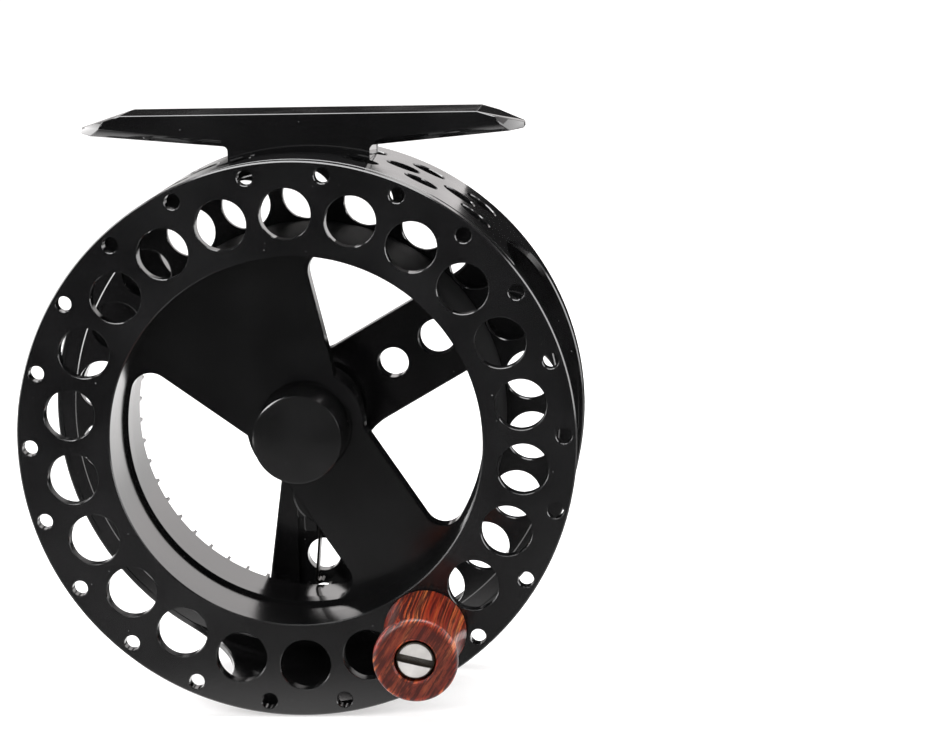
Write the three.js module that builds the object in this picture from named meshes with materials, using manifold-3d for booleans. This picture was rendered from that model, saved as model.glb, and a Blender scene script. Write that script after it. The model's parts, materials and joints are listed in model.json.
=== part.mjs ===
// Click-and-pawl fly reel: a ported spool on a spindle in a caged frame with a foot.
// Millimetres, +Z up.  The reel is drawn about its spindle axis, Y, with Y = 0 in the middle
// of the foot's width and the handle side facing -Y.  The whole is then lowered so that the
// origin is the centre of the foot's top face, where it meets the rod.
import * as THREE from 'three';
import { mergeVertices } from 'three/addons/utils/BufferGeometryUtils.js';
import Module from 'manifold-3d';

// ---- driving dimensions -------------------------------------------------------------
const REEL_R = 41.3;            // outside radius of rim and cage: a 3 1/4 inch reel
const FRONT_Y = -19.8;          // front face of the spool's rim
const BACK_Y = 14.2;            // back face of the frame
const AIR = 0.05;               // running or assembly gap between touching pieces

// spool
const RIM_T = 2.3;              // thickness of the front flange
const RIM_EDGE = 0.4;           // chamfer round its front
const ARBOR_R = 29.6;           // line side of the arbor
const WALL_R = 27.45;           // inside of the arbor, and the click teeth's tips
const REAR_FLANGE_R = 37.8;
const REAR_FLANGE_Y = [6.8, 8.2];
const WEB_Y = [-7.4, -3.9];
const WEB_LEDGE_R = 26.9;
const PORTS = 22;               // big ports in a ring, one place taken by the handle
const PORT_RING_R = 33.6;
const PORT_R = 3.75;
const SMALL_PORT_RING_R = 39.4;
const SMALL_PORT_R = 1.15;
const BAR_HALF = 7.3;           // web bar that runs towards the handle
const FAN_OFFSET = 6.2;         // the counterweight arm's edges pass this far from the axis
const FAN_SPREAD = 20.7;        // and open this many degrees each side
const WEB_FILLET = 3;
const WEB_HUB_R = 8.9;
const TEETH = 52;
const TOOTH_CUT_R = 1.45;
const TOOTH_Y = 6.0;            // front end of the tooth notches
const TOOTH_PHASE = 92.9;       // direction of one tooth tip, degrees from +X towards +Z
const HANDLE_ANGLE = -56.3;     // direction of the handle from the axis

// frame
const CAGE_T = 1.0;
const CAGE_FRONT_Y = FRONT_Y + RIM_T + 0.6;
const CAGE_EDGE = 0.2;          // chamfer on the cage's front and back edges
const PLATE_FRONT_Y = 10.4;
const WINDOW_TOP = 48.5;        // side windows start this far from the top, in degrees
const WINDOW_BOTTOM = 18;       // and end this far from the bottom
const WINDOW_MID_Y = -6;        // middle of their rounded ends
const WINDOW_HALF_DEPTH = PLATE_FRONT_Y - WINDOW_MID_Y;
const WINDOW_END_LENGTH = 10;   // along the rim, over which an end widens to the full depth
const RING_INNER_R = 37.4;
const ARM_HALF = 6.9;
const LOWER_ARM_HALF = 4.6;     // how far its sides pass from the axis
const LOWER_ARM_FLARE = 8;      // degrees that each side opens
const SPIDER_FILLET = 6;
const VALLEY_FILLET = 5;        // between the two upper arms
const LOWER_FILLET = 9;         // between an upper arm and the lower arm
const ARM_HOLES = [             // direction in degrees, distance from the axis, radius
  [30, 13.6, 2.35], [30, 21.5, 2.8], [150, 13.6, 2.35], [150, 21.5, 2.8],
  [-90, 23.85, 2.6], [-90, 31.0, 2.5],
];
const POCKET_HALF = 3.9;        // channel for the click down the front of the lower arm
const POCKET_DEPTH = 1.2;
const POCKET_END_Z = -30;
const POCKET_ABOVE = 5.2;       // and how far it reaches above the clamp screw
const PERFORATION_R = 2.65;
const PERFORATION_STEP = 13.2;  // degrees between pairs of cage perforations
const ROW_Y = [-8.2, -1.0, 6.2];

// foot
const FOOT_TOP = 47.0;
const FOOT_WIDTH = 12.7;
const FOOT_FLAT = 26.6;         // half length of the level top
const FOOT_HALF = 33.4;         // half length overall
const FOOT_TIP_TOP = 44.95;
const FOOT_TIP_BOTTOM = 44.1;
const FOOT_TIP_HALF = 1.5;      // half width of the blunt tip
const FACET_LENGTH = [4.6, 3.4];  // the tip's side facets, along the top and bottom edges
const FOOT_ROOT_BOTTOM = 42.1;
const FOOT_BEVEL = [0.85, 1.3]; // lower edges' bevel at the post and at the tip
const POST_HALF = 10.5;
const POST_FILLET = 0.6;
const FOOT_SCREW_X = 4;
const FOOT_SCREW_R = 1.1;
const FOOT_SCREW_HEAD_R = 2.3;
const FOOT_SCREW_HEAD_T = 0.9;

// centre
const JOURNAL_R = 3.0;
const TIP_R = 2.0;
const SPINDLE_TAIL_R = 2.5;
const TIP_END_Y = -14.5;        // front end of the spindle, inside the cap
const SHOULDER_R = 4.4;         // collar that bears on the frame's plate
const SHOULDER_T = 1.2;
const BACK_SCREW_R = 0.85;      // shank of the screw that holds the spindle from behind
const SPINDLE_HEAD_R = 4.0;     // and its head
const SCREW_SINK = 1.8;         // how deep that head sits in the frame
const CAP_R = 6.55;
const CAP_Y = [-18.2, -7.05];
const HUB_R = 7.4;
const BEARING_R = 5.5;
const BEARING_W = 4.0;
const BEARING_LIP = 0.9;        // shoulder that each bearing's outer ring rests on
const INNER_RING_R = 3.95;      // the bearing's inner ring outside, and outer ring inside
const OUTER_RING_BORE_R = 4.25;
const SLEEVE_R = 3.8;           // spacer, cap washer and the spindle's thick part
const FRONT_BEARING_Y = -6.6;
const REAR_BEARING_Y = 3.5;

// handle, about its own axis
const KNOB_LENGTH = 18.6;
const KNOB_R = 6.1;
const KNOB_WAIST_R = 5.45;
const KNOB_BORE_R = 3.0;
const KNOB_FACE_R = 5.2;        // its flat ends, each joined to the side by a rounded edge
const KNOB_ROUND_R = 5.85;
const KNOB_ROUND_T = 0.5;       // the edge's depth at that radius
const KNOB_END_T = 1.4;         // and its full depth
const HANDLE_BASE = 0.9;        // knob's near end stands this far off the rim
const HANDLE_SCREW_R = 1.5;
const POST_R = 2.3;             // tube that the knob turns on, between screw and bush
const POST_BORE_R = 1.65;
const HANDLE_WASHER_R = 5.0;
const SCREW_HEAD_R = 2.65;      // head of the handle screw and of the click screw

// click
const PIVOT_Z = -13.6;          // the clamp screw's height on the lower arm
const CLICK_SCREW_R = 1.25;
const SPRING_T = 0.6;
const SPRING_TOP = 4.2;         // its upper end, below the clamp screw
const SPRING_END_R = 27.2;      // its tip stops just inside the teeth
const SPRING_Y = [6.4, 9.2];
const BLOCK_FRONT_Y = 7.8;
const STEM_LENGTH = 6;          // clamp block's lower end, below the clamp screw
const STEM_HALF = 2.6;
const KEY_HALF = 3.8;           // part of the clamp block that fills the arm's channel
const KEY_Z = [PIVOT_Z - 4, PIVOT_Z + 5];
const CLAMP_DISC_R = 5.2;       // round front of the clamp block, a little off centre
const CLAMP_DISC_AT = [0.9, PIVOT_Z + 0.4];
const SPRING_BEAD_R = 0.5;

// facets round a full turn
const RIM_FACETS = 66;
const PORT_FACETS = 12;
const SMALL_FACETS = 24;

// ---- helpers ------------------------------------------------------------------------
const wasm = await Module();
wasm.setup();
const deg = Math.PI / 180;
const group = new THREE.Group();

const polar = (r, a) => new THREE.Vector2(r * Math.cos(a * deg), r * Math.sin(a * deg));

function welded(geometry) {
  const g = geometry.clone();
  g.deleteAttribute('normal');
  g.deleteAttribute('uv');
  g.clearGroups();
  return mergeVertices(g, 1e-5);
}

function signedVolume(g) {
  const p = g.attributes.position;
  const [a, b, c] = [new THREE.Vector3(), new THREE.Vector3(), new THREE.Vector3()];
  let sum = 0;
  for (let i = 0; i < g.index.count; i += 3) {
    a.fromBufferAttribute(p, g.index.getX(i));
    b.fromBufferAttribute(p, g.index.getX(i + 1));
    c.fromBufferAttribute(p, g.index.getX(i + 2));
    sum += a.dot(b.cross(c));
  }
  return sum;
}

// A closed geometry becomes a manifold solid with its faces pointing out.
function solid(geometry) {
  const g = welded(geometry);
  const triVerts = new Uint32Array(g.index.array);
  if (signedVolume(g) < 0) {
    for (let i = 0; i < triVerts.length; i += 3) {
      [triVerts[i], triVerts[i + 1]] = [triVerts[i + 1], triVerts[i]];
    }
  }
  const vertProperties = new Float32Array(g.attributes.position.array);
  return new wasm.Manifold(new wasm.Mesh({ numProp: 3, vertProperties, triVerts }));
}

function geometryOf(shape) {
  const mesh = shape.getMesh();
  const g = new THREE.BufferGeometry();
  g.setAttribute('position', new THREE.BufferAttribute(new Float32Array(mesh.vertProperties), 3));
  g.setIndex(new THREE.BufferAttribute(new Uint32Array(mesh.triVerts), 1));
  return g;
}

const joined = (shapes) => shapes.reduce((a, b) => a.add(b));
const cut = (shape, tools) => tools.reduce((a, b) => a.subtract(b), shape);

// A closed profile of [radius, y] corners turned about the spindle axis.
function turned(profile, segments = SMALL_FACETS) {
  const corners = profile.map(([r, y]) => new THREE.Vector2(r, y));
  corners.push(corners[0].clone());
  return solid(new THREE.LatheGeometry(corners, segments));
}

// A profile that starts and ends on the axis, turned about it.
function turnedSolid(profile, segments = SMALL_FACETS) {
  const corners = profile.map(([r, y]) => new THREE.Vector2(r, y));
  return solid(new THREE.LatheGeometry(corners, segments));
}

// A flat outline in the front view (x right, z up) between two depths.
function plate(outline, y0, y1) {
  const g = new THREE.ExtrudeGeometry(new THREE.Shape(outline), { depth: y1 - y0, bevelEnabled: false });
  return solid(g.rotateX(Math.PI / 2).translate(0, y1, 0));
}

// A round bar along Y.
function rod(r, y0, y1, x = 0, z = 0, segments = SMALL_FACETS) {
  const g = new THREE.CylinderGeometry(r, r, y1 - y0, segments);
  return solid(g.translate(x, (y0 + y1) / 2, z));
}

function block(x0, x1, y0, y1, z0, z1) {
  const g = new THREE.BoxGeometry(x1 - x0, y1 - y0, z1 - z0);
  return solid(g.translate((x0 + x1) / 2, (y0 + y1) / 2, (z0 + z1) / 2));
}

function arc(centre, r, from, to, steps) {
  const points = [];
  for (let i = 0; i <= steps; i++) points.push(polar(r, from + ((to - from) * i) / steps).add(centre));
  return points;
}

const heading = (v) => Math.atan2(v.y, v.x) / deg;

// Turns the end angle so that the arc takes the short way round.
function shortWay(from, to) {
  let turn = (to - from) % 360;
  if (turn > 180) turn -= 360;
  if (turn < -180) turn += 360;
  return from + turn;
}

// One side of an arm: the direction it runs, how far its edge passes from the axis, and
// which way the opening lies (+1 counter-clockwise of the arm, -1 clockwise).
function armEdge(direction, offset, side) {
  return { along: polar(1, direction), out: polar(1, direction + 90 * side), offset };
}

// The rounded corner where an arm's edge meets the outer circle, from arm to circle.
function outerCorner(edge, wallR, fillet) {
  const away = edge.offset + fillet;
  const reach = Math.sqrt((wallR - fillet) ** 2 - away ** 2);
  const centre = edge.out.clone().multiplyScalar(away).addScaledVector(edge.along, reach);
  const from = heading(edge.out.clone().negate());
  return arc(centre, fillet, from, shortWay(from, heading(centre)), 5);
}

// The rounded corner where the edges of two arms meet, from the second arm to the first.
function innerCorner(a, b, fillet) {
  const det = a.out.x * b.out.y - a.out.y * b.out.x;
  const [p, q] = [a.offset + fillet, b.offset + fillet];
  const centre = new THREE.Vector2((p * b.out.y - q * a.out.y) / det, (q * a.out.x - p * b.out.x) / det);
  const from = heading(b.out.clone().negate());
  return arc(centre, fillet, from, shortWay(from, heading(a.out.clone().negate())), 5);
}

// The hub side of an opening as part of a circle, from the second arm to the first.
function hubArc(a, b, r) {
  const foot = (e) => e.out.clone().multiplyScalar(e.offset)
    .addScaledVector(e.along, Math.sqrt(r * r - e.offset ** 2));
  const from = heading(foot(b));
  return arc(new THREE.Vector2(), r, from, shortWay(from, heading(foot(a))), 8);
}

// An opening between two arms that runs counter-clockwise from edge a to edge b.
function opening(a, b, wallR, fillet, inner, steps) {
  const start = outerCorner(a, wallR, fillet);
  const end = outerCorner(b, wallR, fillet).reverse();
  const from = heading(start.at(-1));
  const span = (heading(end[0]) - from + 720) % 360;
  const wall = arc(new THREE.Vector2(), wallR, from, from + span, steps).slice(1, -1);
  return [...start, ...wall, ...end, ...inner];
}

function add(name, shape, material, parent = group) {
  const mesh = new THREE.Mesh(geometryOf(shape), material);
  mesh.name = name;
  parent.add(mesh);
  return mesh;
}

const paint = (color, roughness, metalness) =>
  new THREE.MeshStandardMaterial({ color, roughness, metalness });

const black = () => paint(0x1d1d1e, 0.38, 0.7);
const steel = () => paint(0xc9c7c3, 0.28, 1.0);
const wood = () => paint(0x7a2a17, 0.5, 0.0);
const bronze = () => paint(0xb08d4f, 0.35, 1.0);
const nylon = () => paint(0xe4e0d4, 0.6, 0.0);

// ---- spool --------------------------------------------------------------------------
function ringOfPorts(count, ringR, r, y0, y1, first, segments, skip = -1) {
  const tools = [];
  for (let i = 0; i < count; i++) {
    if (i === skip) continue;
    const p = polar(ringR, first + (i * 360) / count);
    tools.push(rod(r, y0 - 1, y1 + 1, p.x, p.y, segments));
  }
  return tools;
}

function spoolWeb() {
  const bar = HANDLE_ANGLE;
  const fan = HANDLE_ANGLE + 180;
  const rightA = armEdge(bar, BAR_HALF, 1);
  const rightB = armEdge(fan - FAN_SPREAD, FAN_OFFSET, -1);
  const leftA = armEdge(fan + FAN_SPREAD, FAN_OFFSET, 1);
  const leftB = armEdge(bar, BAR_HALF, -1);
  const right = opening(rightA, rightB, WEB_LEDGE_R, WEB_FILLET, hubArc(rightA, rightB, WEB_HUB_R), 12);
  const left = opening(leftA, leftB, WEB_LEDGE_R, WEB_FILLET, hubArc(leftA, leftB, WEB_HUB_R), 12);
  const disc = rod(WALL_R + 0.6, WEB_Y[0], WEB_Y[1], 0, 0, RIM_FACETS);
  return cut(disc, [right, left].map((o) => plate(o, WEB_Y[0] - 1, WEB_Y[1] + 1)));
}

function makeSpool() {
  const rimBack = FRONT_Y + RIM_T;
  const bevel = 0.3;
  const body = turned([
    [WALL_R + bevel, FRONT_Y], [REEL_R - RIM_EDGE, FRONT_Y], [REEL_R, FRONT_Y + RIM_EDGE],
    [REEL_R, rimBack - bevel], [REEL_R - bevel, rimBack], [ARBOR_R, rimBack], [ARBOR_R, REAR_FLANGE_Y[0]],
    [REAR_FLANGE_R, REAR_FLANGE_Y[0]], [REAR_FLANGE_R, REAR_FLANGE_Y[1]],
    [WALL_R, REAR_FLANGE_Y[1]], [WALL_R, FRONT_Y + bevel],
  ], RIM_FACETS);
  const hub = rod(HUB_R, WEB_Y[0], REAR_BEARING_Y + BEARING_W);
  const seat = BEARING_R + AIR;
  const bore = [
    rod(seat, WEB_Y[0] - 1, FRONT_BEARING_Y + BEARING_W),
    rod(CAP_R + 0.4, WEB_Y[0] - 1, WEB_Y[0] + 0.5),
    rod(BEARING_R - BEARING_LIP, FRONT_BEARING_Y, REAR_BEARING_Y + 1),
    rod(seat, REAR_BEARING_Y, REAR_BEARING_Y + BEARING_W + 1),
  ];
  const step = 360 / PORTS;
  const front = ringOfPorts(PORTS, PORT_RING_R, PORT_R, FRONT_Y, rimBack, HANDLE_ANGLE, PORT_FACETS, 0);
  const rear = ringOfPorts(PORTS, PORT_RING_R, PORT_R, ...REAR_FLANGE_Y, HANDLE_ANGLE, PORT_FACETS);
  const small = ringOfPorts(
    PORTS, SMALL_PORT_RING_R, SMALL_PORT_R, FRONT_Y, rimBack, HANDLE_ANGLE + step / 2, 6);
  const notchPhase = TOOTH_PHASE + 180 / TEETH;
  const teeth = ringOfPorts(
    TEETH, WALL_R, TOOTH_CUT_R, TOOTH_Y + 1, REAR_FLANGE_Y[1], notchPhase, 8);
  const at = polar(PORT_RING_R, HANDLE_ANGLE);
  const stud = rod(HANDLE_SCREW_R + AIR, FRONT_Y - 1, rimBack + 1, at.x, at.y);
  const whole = joined([body, spoolWeb(), hub]);
  return cut(whole, [...bore, ...front, ...rear, ...small, ...teeth, stud]);
}

// ---- frame --------------------------------------------------------------------------
// A radial round tool through the cage, at an angle from +X towards +Z.
function radialTool(angle, y, r, facets) {
  const g = new THREE.CylinderGeometry(r, r, 8, facets);
  return solid(g.translate(0, REEL_R, 0).rotateZ(-Math.PI / 2).rotateY(-angle * deg).translate(0, y, 0));
}

// A side window of the cage, open at the front.  Each end of it is half an ellipse on the
// unrolled band: the cutter follows the band's angle, and its depth range widens from the end.
function windowTool(side) {
  const span = (180 - WINDOW_TOP - WINDOW_BOTTOM) * deg * REEL_R;
  const stations = [];
  for (let turn = 8; turn < 90; turn += 10) {
    stations.push([WINDOW_END_LENGTH * (1 - Math.cos(turn * deg)), Math.sin(turn * deg)]);
  }
  const plain = span - 2 * WINDOW_END_LENGTH;
  for (let i = 0; i <= 12; i++) stations.push([WINDOW_END_LENGTH + (plain * i) / 12, 1]);
  for (const [along, depth] of stations.slice(0, 9).reverse()) stations.push([span - along, depth]);

  const radii = [REEL_R - CAGE_T - 1, REEL_R + 2];
  const points = [];
  for (const [along, depth] of stations) {
    const angle = 90 - side * (WINDOW_TOP + along / REEL_R / deg);
    const [near, far] = radii.map((r) => polar(r, angle));
    const [y0, y1] = [-1, 1].map((way) => WINDOW_MID_Y + way * WINDOW_HALF_DEPTH * depth);
    for (const [p, y] of [[near, y0], [far, y0], [far, y1], [near, y1]]) points.push(p.x, y, p.y);
  }
  const faces = [0, 1, 2, 0, 2, 3];
  for (let i = 0; i < stations.length - 1; i++) {
    for (let k = 0; k < 4; k++) {
      const [a, b] = [4 * i + k, 4 * i + ((k + 1) % 4)];
      faces.push(a, a + 4, b, b, a + 4, b + 4);
    }
  }
  const last = points.length / 3 - 4;
  faces.push(last, last + 2, last + 1, last, last + 3, last + 2);
  const g = new THREE.BufferGeometry();
  g.setAttribute('position', new THREE.Float32BufferAttribute(points, 3));
  g.setIndex(faces);
  return solid(g);
}

function perforations() {
  const tools = [];
  const add = (fromTop, y) => tools.push(radialTool(90 - fromTop, y, PERFORATION_R, PORT_FACETS));
  for (const side of [-1, 1]) {
    for (const i of [1, 2, 3]) {
      add(side * i * PERFORATION_STEP, ROW_Y[0]);
      add(side * i * PERFORATION_STEP, ROW_Y[2]);
    }
    for (const i of [1.625, 2.625]) add(side * i * PERFORATION_STEP, ROW_Y[1]);
  }
  return tools;
}

function spiderOpenings() {
  const up = { right: 30, left: 150 };
  const valleyA = armEdge(up.right, ARM_HALF, 1);
  const valleyB = armEdge(up.left, ARM_HALF, -1);
  const lower = (side) => ({
    arm: armEdge(side > 0 ? up.right : up.left, ARM_HALF, -side),
    leg: armEdge(-90 + side * LOWER_ARM_FLARE, LOWER_ARM_HALF, side),
  });
  const [right, left] = [lower(1), lower(-1)];
  const pairs = [
    [valleyA, valleyB, VALLEY_FILLET],
    [right.leg, right.arm, LOWER_FILLET],
    [left.arm, left.leg, LOWER_FILLET],
  ];
  return pairs.map(([a, b, fillet]) =>
    plate(opening(a, b, RING_INNER_R, SPIDER_FILLET, innerCorner(a, b, fillet), 10),
      PLATE_FRONT_Y - 2, BACK_Y + 1));
}

function armHoles() {
  return ARM_HOLES.map(([angle, r, radius]) => {
    const p = polar(r, angle);
    return rod(radius, PLATE_FRONT_Y - 1, BACK_Y + 1, p.x, p.y, 16);
  });
}

const POCKET_Y = PLATE_FRONT_Y + POCKET_DEPTH;

function makeFrame() {
  const insideR = REEL_R - CAGE_T;
  const cage = turned([
    [insideR, CAGE_FRONT_Y], [REEL_R - CAGE_EDGE, CAGE_FRONT_Y], [REEL_R, CAGE_FRONT_Y + CAGE_EDGE],
    [REEL_R, BACK_Y - 0.5], [REEL_R - 0.5, BACK_Y], [insideR, BACK_Y],
  ], RIM_FACETS);
  const back = cut(rod(REEL_R - 0.6, PLATE_FRONT_Y, BACK_Y, 0, 0, RIM_FACETS), spiderOpenings());
  const pocketTop = PIVOT_Z + POCKET_ABOVE;
  const pocket = block(-POCKET_HALF, POCKET_HALF, PLATE_FRONT_Y - 1, POCKET_Y, POCKET_END_Z, pocketTop);
  const screwHoles = [-1, 1].map((side) => {
    const g = new THREE.CylinderGeometry(FOOT_SCREW_R + 0.15, FOOT_SCREW_R + 0.15, 6, PORT_FACETS);
    return solid(g.rotateX(Math.PI / 2).translate(side * FOOT_SCREW_X, 0, REEL_R - 1));
  });
  return cut(joined([cage, back]), [
    windowTool(1), windowTool(-1), ...perforations(), ...armHoles(), pocket, ...screwHoles,
    rod(SPINDLE_TAIL_R + AIR, PLATE_FRONT_Y - 1, BACK_Y - SCREW_SINK + 0.1),
    rod(SPINDLE_HEAD_R + 0.2, BACK_Y - SCREW_SINK, BACK_Y + 1),
    rod(CLICK_SCREW_R + 0.1, POCKET_Y - 1, BACK_Y + 1, 0, PIVOT_Z, PORT_FACETS),
  ]);
}

// ---- foot ---------------------------------------------------------------------------
// Cuts a body by the plane through three points and keeps the side towards the foot's middle.
function trimmed(shape, p, q, r) {
  const normal = q.clone().sub(p).cross(r.clone().sub(p)).normalize();
  const middle = new THREE.Vector3(0, 0, (FOOT_TOP + FOOT_ROOT_BOTTOM) / 2);
  if (normal.dot(middle.sub(p)) < 0) normal.negate();
  return shape.trimByPlane(normal.toArray(), normal.dot(p));
}

function makeFoot() {
  const edge = FOOT_WIDTH / 2;
  const outline = [
    [FOOT_FLAT, FOOT_TOP], [FOOT_HALF, FOOT_TIP_TOP],
    [FOOT_HALF, FOOT_TIP_BOTTOM], [POST_HALF, FOOT_ROOT_BOTTOM],
  ];
  const half = outline.map(([x, z]) => new THREE.Vector2(x, z));
  const mirrored = half.map((p) => new THREE.Vector2(-p.x, p.y)).reverse();
  let wings = plate([...half, ...mirrored].reverse(), -edge, edge);
  for (const sx of [-1, 1]) {
    for (const sy of [-1, 1]) {
      const at = (x, y, z) => new THREE.Vector3(sx * x, sy * y, z);
      wings = trimmed(wings, at(FOOT_HALF - FACET_LENGTH[0], edge, FOOT_TOP),
        at(FOOT_HALF - FACET_LENGTH[1], edge, FOOT_TIP_TOP),
        at(FOOT_HALF, FOOT_TIP_HALF, (FOOT_TIP_TOP + FOOT_TIP_BOTTOM) / 2));
      wings = trimmed(wings, at(POST_HALF, edge, FOOT_ROOT_BOTTOM + FOOT_BEVEL[0]),
        at(POST_HALF, edge - FOOT_BEVEL[0], FOOT_ROOT_BOTTOM),
        at(FOOT_HALF, edge, FOOT_TIP_BOTTOM + FOOT_BEVEL[1]));
    }
  }
  const neck = [
    [POST_HALF + POST_FILLET, FOOT_ROOT_BOTTOM + 0.3], [POST_HALF + POST_FILLET, FOOT_ROOT_BOTTOM],
    [POST_HALF, FOOT_ROOT_BOTTOM - POST_FILLET], [POST_HALF, REEL_R - 4],
  ].map(([x, z]) => new THREE.Vector2(x, z));
  const otherSide = neck.map((p) => new THREE.Vector2(-p.x, p.y)).reverse();
  const post = plate([...neck, ...otherSide].reverse(), -edge, edge);
  const seat = rod(REEL_R + AIR, -10, 10, 0, 0, RIM_FACETS);
  const threads = [-1, 1].map((side) => {
    const g = new THREE.CylinderGeometry(FOOT_SCREW_R + AIR, FOOT_SCREW_R + AIR, 7, SMALL_FACETS);
    return solid(g.rotateX(Math.PI / 2).translate(side * FOOT_SCREW_X, 0, REEL_R));
  });
  return cut(wings.add(post), [seat, ...threads]);
}

// A slotted screw along local Y: the head's face is at y = 0 and the shank runs to +Y.
function slottedScrew(headR, headT, shankR, shankLength, slotWidth, slotTurn) {
  const body = turnedSolid([
    [0, 0], [headR - 0.25, 0], [headR, 0.25], [headR, headT], [shankR, headT],
    [shankR, headT + shankLength], [0, headT + shankLength],
  ]);
  const slot = new THREE.BoxGeometry(headR * 3, headT * 0.9, slotWidth);
  return body.subtract(solid(slot.rotateY(slotTurn * deg)));
}

function addFootScrews() {
  const underside = Math.sqrt((REEL_R - CAGE_T) ** 2 - (FOOT_SCREW_X + FOOT_SCREW_HEAD_R) ** 2);
  for (const [name, side] of [['foot_screw_left', -1], ['foot_screw_right', 1]]) {
    const shape = slottedScrew(FOOT_SCREW_HEAD_R, FOOT_SCREW_HEAD_T, FOOT_SCREW_R, 4, 0.7, 20);
    const screw = add(name, shape, steel());
    screw.rotation.x = Math.PI / 2;
    screw.position.set(side * FOOT_SCREW_X, 0, underside - FOOT_SCREW_HEAD_T - AIR);
  }
}

// ---- spindle, bearings and cap ------------------------------------------------------
function addSpindle() {
  const shoulder = PLATE_FRONT_Y - AIR;
  const journalStart = REAR_BEARING_Y + BEARING_W + AIR;
  const journalEnd = FRONT_BEARING_Y - AIR;
  const tailEnd = BACK_Y - SCREW_SINK - 0.4;
  const bore = BACK_SCREW_R + AIR;
  add('spindle', turned([
    [bore, tailEnd], [SPINDLE_TAIL_R, tailEnd], [SPINDLE_TAIL_R, shoulder],
    [SHOULDER_R, shoulder], [SHOULDER_R, shoulder - SHOULDER_T],
    [SLEEVE_R, shoulder - SHOULDER_T], [SLEEVE_R, journalStart],
    [JOURNAL_R, journalStart], [JOURNAL_R, journalEnd],
    [TIP_R, journalEnd], [TIP_R, TIP_END_Y], [bore, TIP_END_Y],
  ]), steel());
  const shape = slottedScrew(SPINDLE_HEAD_R, SCREW_SINK - 0.15, BACK_SCREW_R, 8, 1.0, 35);
  const screw = add('spindle_screw', shape, steel());
  screw.rotation.x = Math.PI;
  screw.position.set(0, BACK_Y - 0.1, 0);
}

function addBearings() {
  for (const [name, y] of [['front', FRONT_BEARING_Y], ['rear', REAR_BEARING_Y]]) {
    const y1 = y + BEARING_W - AIR;
    add(`bearing_${name}_outer`, turned([
      [OUTER_RING_BORE_R, y], [BEARING_R, y], [BEARING_R, y1], [OUTER_RING_BORE_R, y1],
    ]), steel());
    add(`bearing_${name}_inner`, turned([
      [JOURNAL_R + 0.08, y], [INNER_RING_R, y], [INNER_RING_R, y1], [JOURNAL_R + 0.08, y1],
    ]), steel());
  }
  const from = FRONT_BEARING_Y + BEARING_W + AIR;
  const to = REAR_BEARING_Y - AIR;
  add('bearing_spacer', turned([
    [JOURNAL_R + 0.1, from], [SLEEVE_R, from], [SLEEVE_R, to], [JOURNAL_R + 0.1, to],
  ]), bronze());
}

function addCap() {
  const washer = [FRONT_BEARING_Y - 0.4, FRONT_BEARING_Y - 0.08];
  add('cap_washer', turned([
    [TIP_R + 0.2, washer[0]], [SLEEVE_R, washer[0]], [SLEEVE_R, washer[1]], [TIP_R + 0.2, washer[1]],
  ]), nylon());
  add('hub_cap', turnedSolid([
    [0, CAP_Y[0]], [CAP_R - 0.35, CAP_Y[0]], [CAP_R, CAP_Y[0] + 0.35], [CAP_R, CAP_Y[1]],
    [TIP_R + 0.12, CAP_Y[1]], [TIP_R + 0.12, TIP_END_Y - 0.5], [0, TIP_END_Y - 0.5],
  ], 36), black());
}

// ---- handle -------------------------------------------------------------------------
function addHandle() {
  const at = polar(PORT_RING_R, HANDLE_ANGLE);
  const holder = new THREE.Group();
  holder.position.set(at.x, FRONT_Y, at.y);
  group.add(holder);
  const base = -HANDLE_BASE;
  const face = base - KNOB_LENGTH;
  const mid = (base + face) / 2;
  const bushR = KNOB_BORE_R - 0.08;
  const curve = [];
  const sideLength = KNOB_LENGTH - 2 * KNOB_END_T;
  for (let i = -3; i <= 3; i++) {
    const t = i / 3;
    curve.push([KNOB_WAIST_R + (KNOB_R - KNOB_WAIST_R) * Math.abs(t) ** 1.6, mid - (sideLength / 2) * t]);
  }
  add('handle_knob', turned([
    [KNOB_BORE_R, base], [KNOB_FACE_R, base], [KNOB_ROUND_R, base - KNOB_ROUND_T], ...curve,
    [KNOB_ROUND_R, face + KNOB_ROUND_T], [KNOB_FACE_R, face], [KNOB_BORE_R, face],
  ], 32), wood(), holder);
  add('handle_bush', turned([
    [POST_R + 0.12, base - 0.1], [bushR, base - 0.1], [bushR, face + 1.5], [POST_R + 0.12, face + 1.5],
  ]), bronze(), holder);
  add('handle_post', turned([
    [POST_BORE_R, -AIR], [POST_R, -AIR], [POST_R, face + 1.45], [POST_BORE_R, face + 1.45],
  ]), steel(), holder);
  add('handle_washer', turned([
    [POST_R + 0.1, -AIR], [HANDLE_WASHER_R, -AIR], [HANDLE_WASHER_R, base + 0.1], [POST_R + 0.1, base + 0.1],
  ]), steel(), holder);
  const screw = add('handle_screw',
    slottedScrew(SCREW_HEAD_R, 1.2, HANDLE_SCREW_R, KNOB_LENGTH + 1.5, 1.15, 13), steel(), holder);
  screw.position.set(0, face + 0.2, 0);
}

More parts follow.
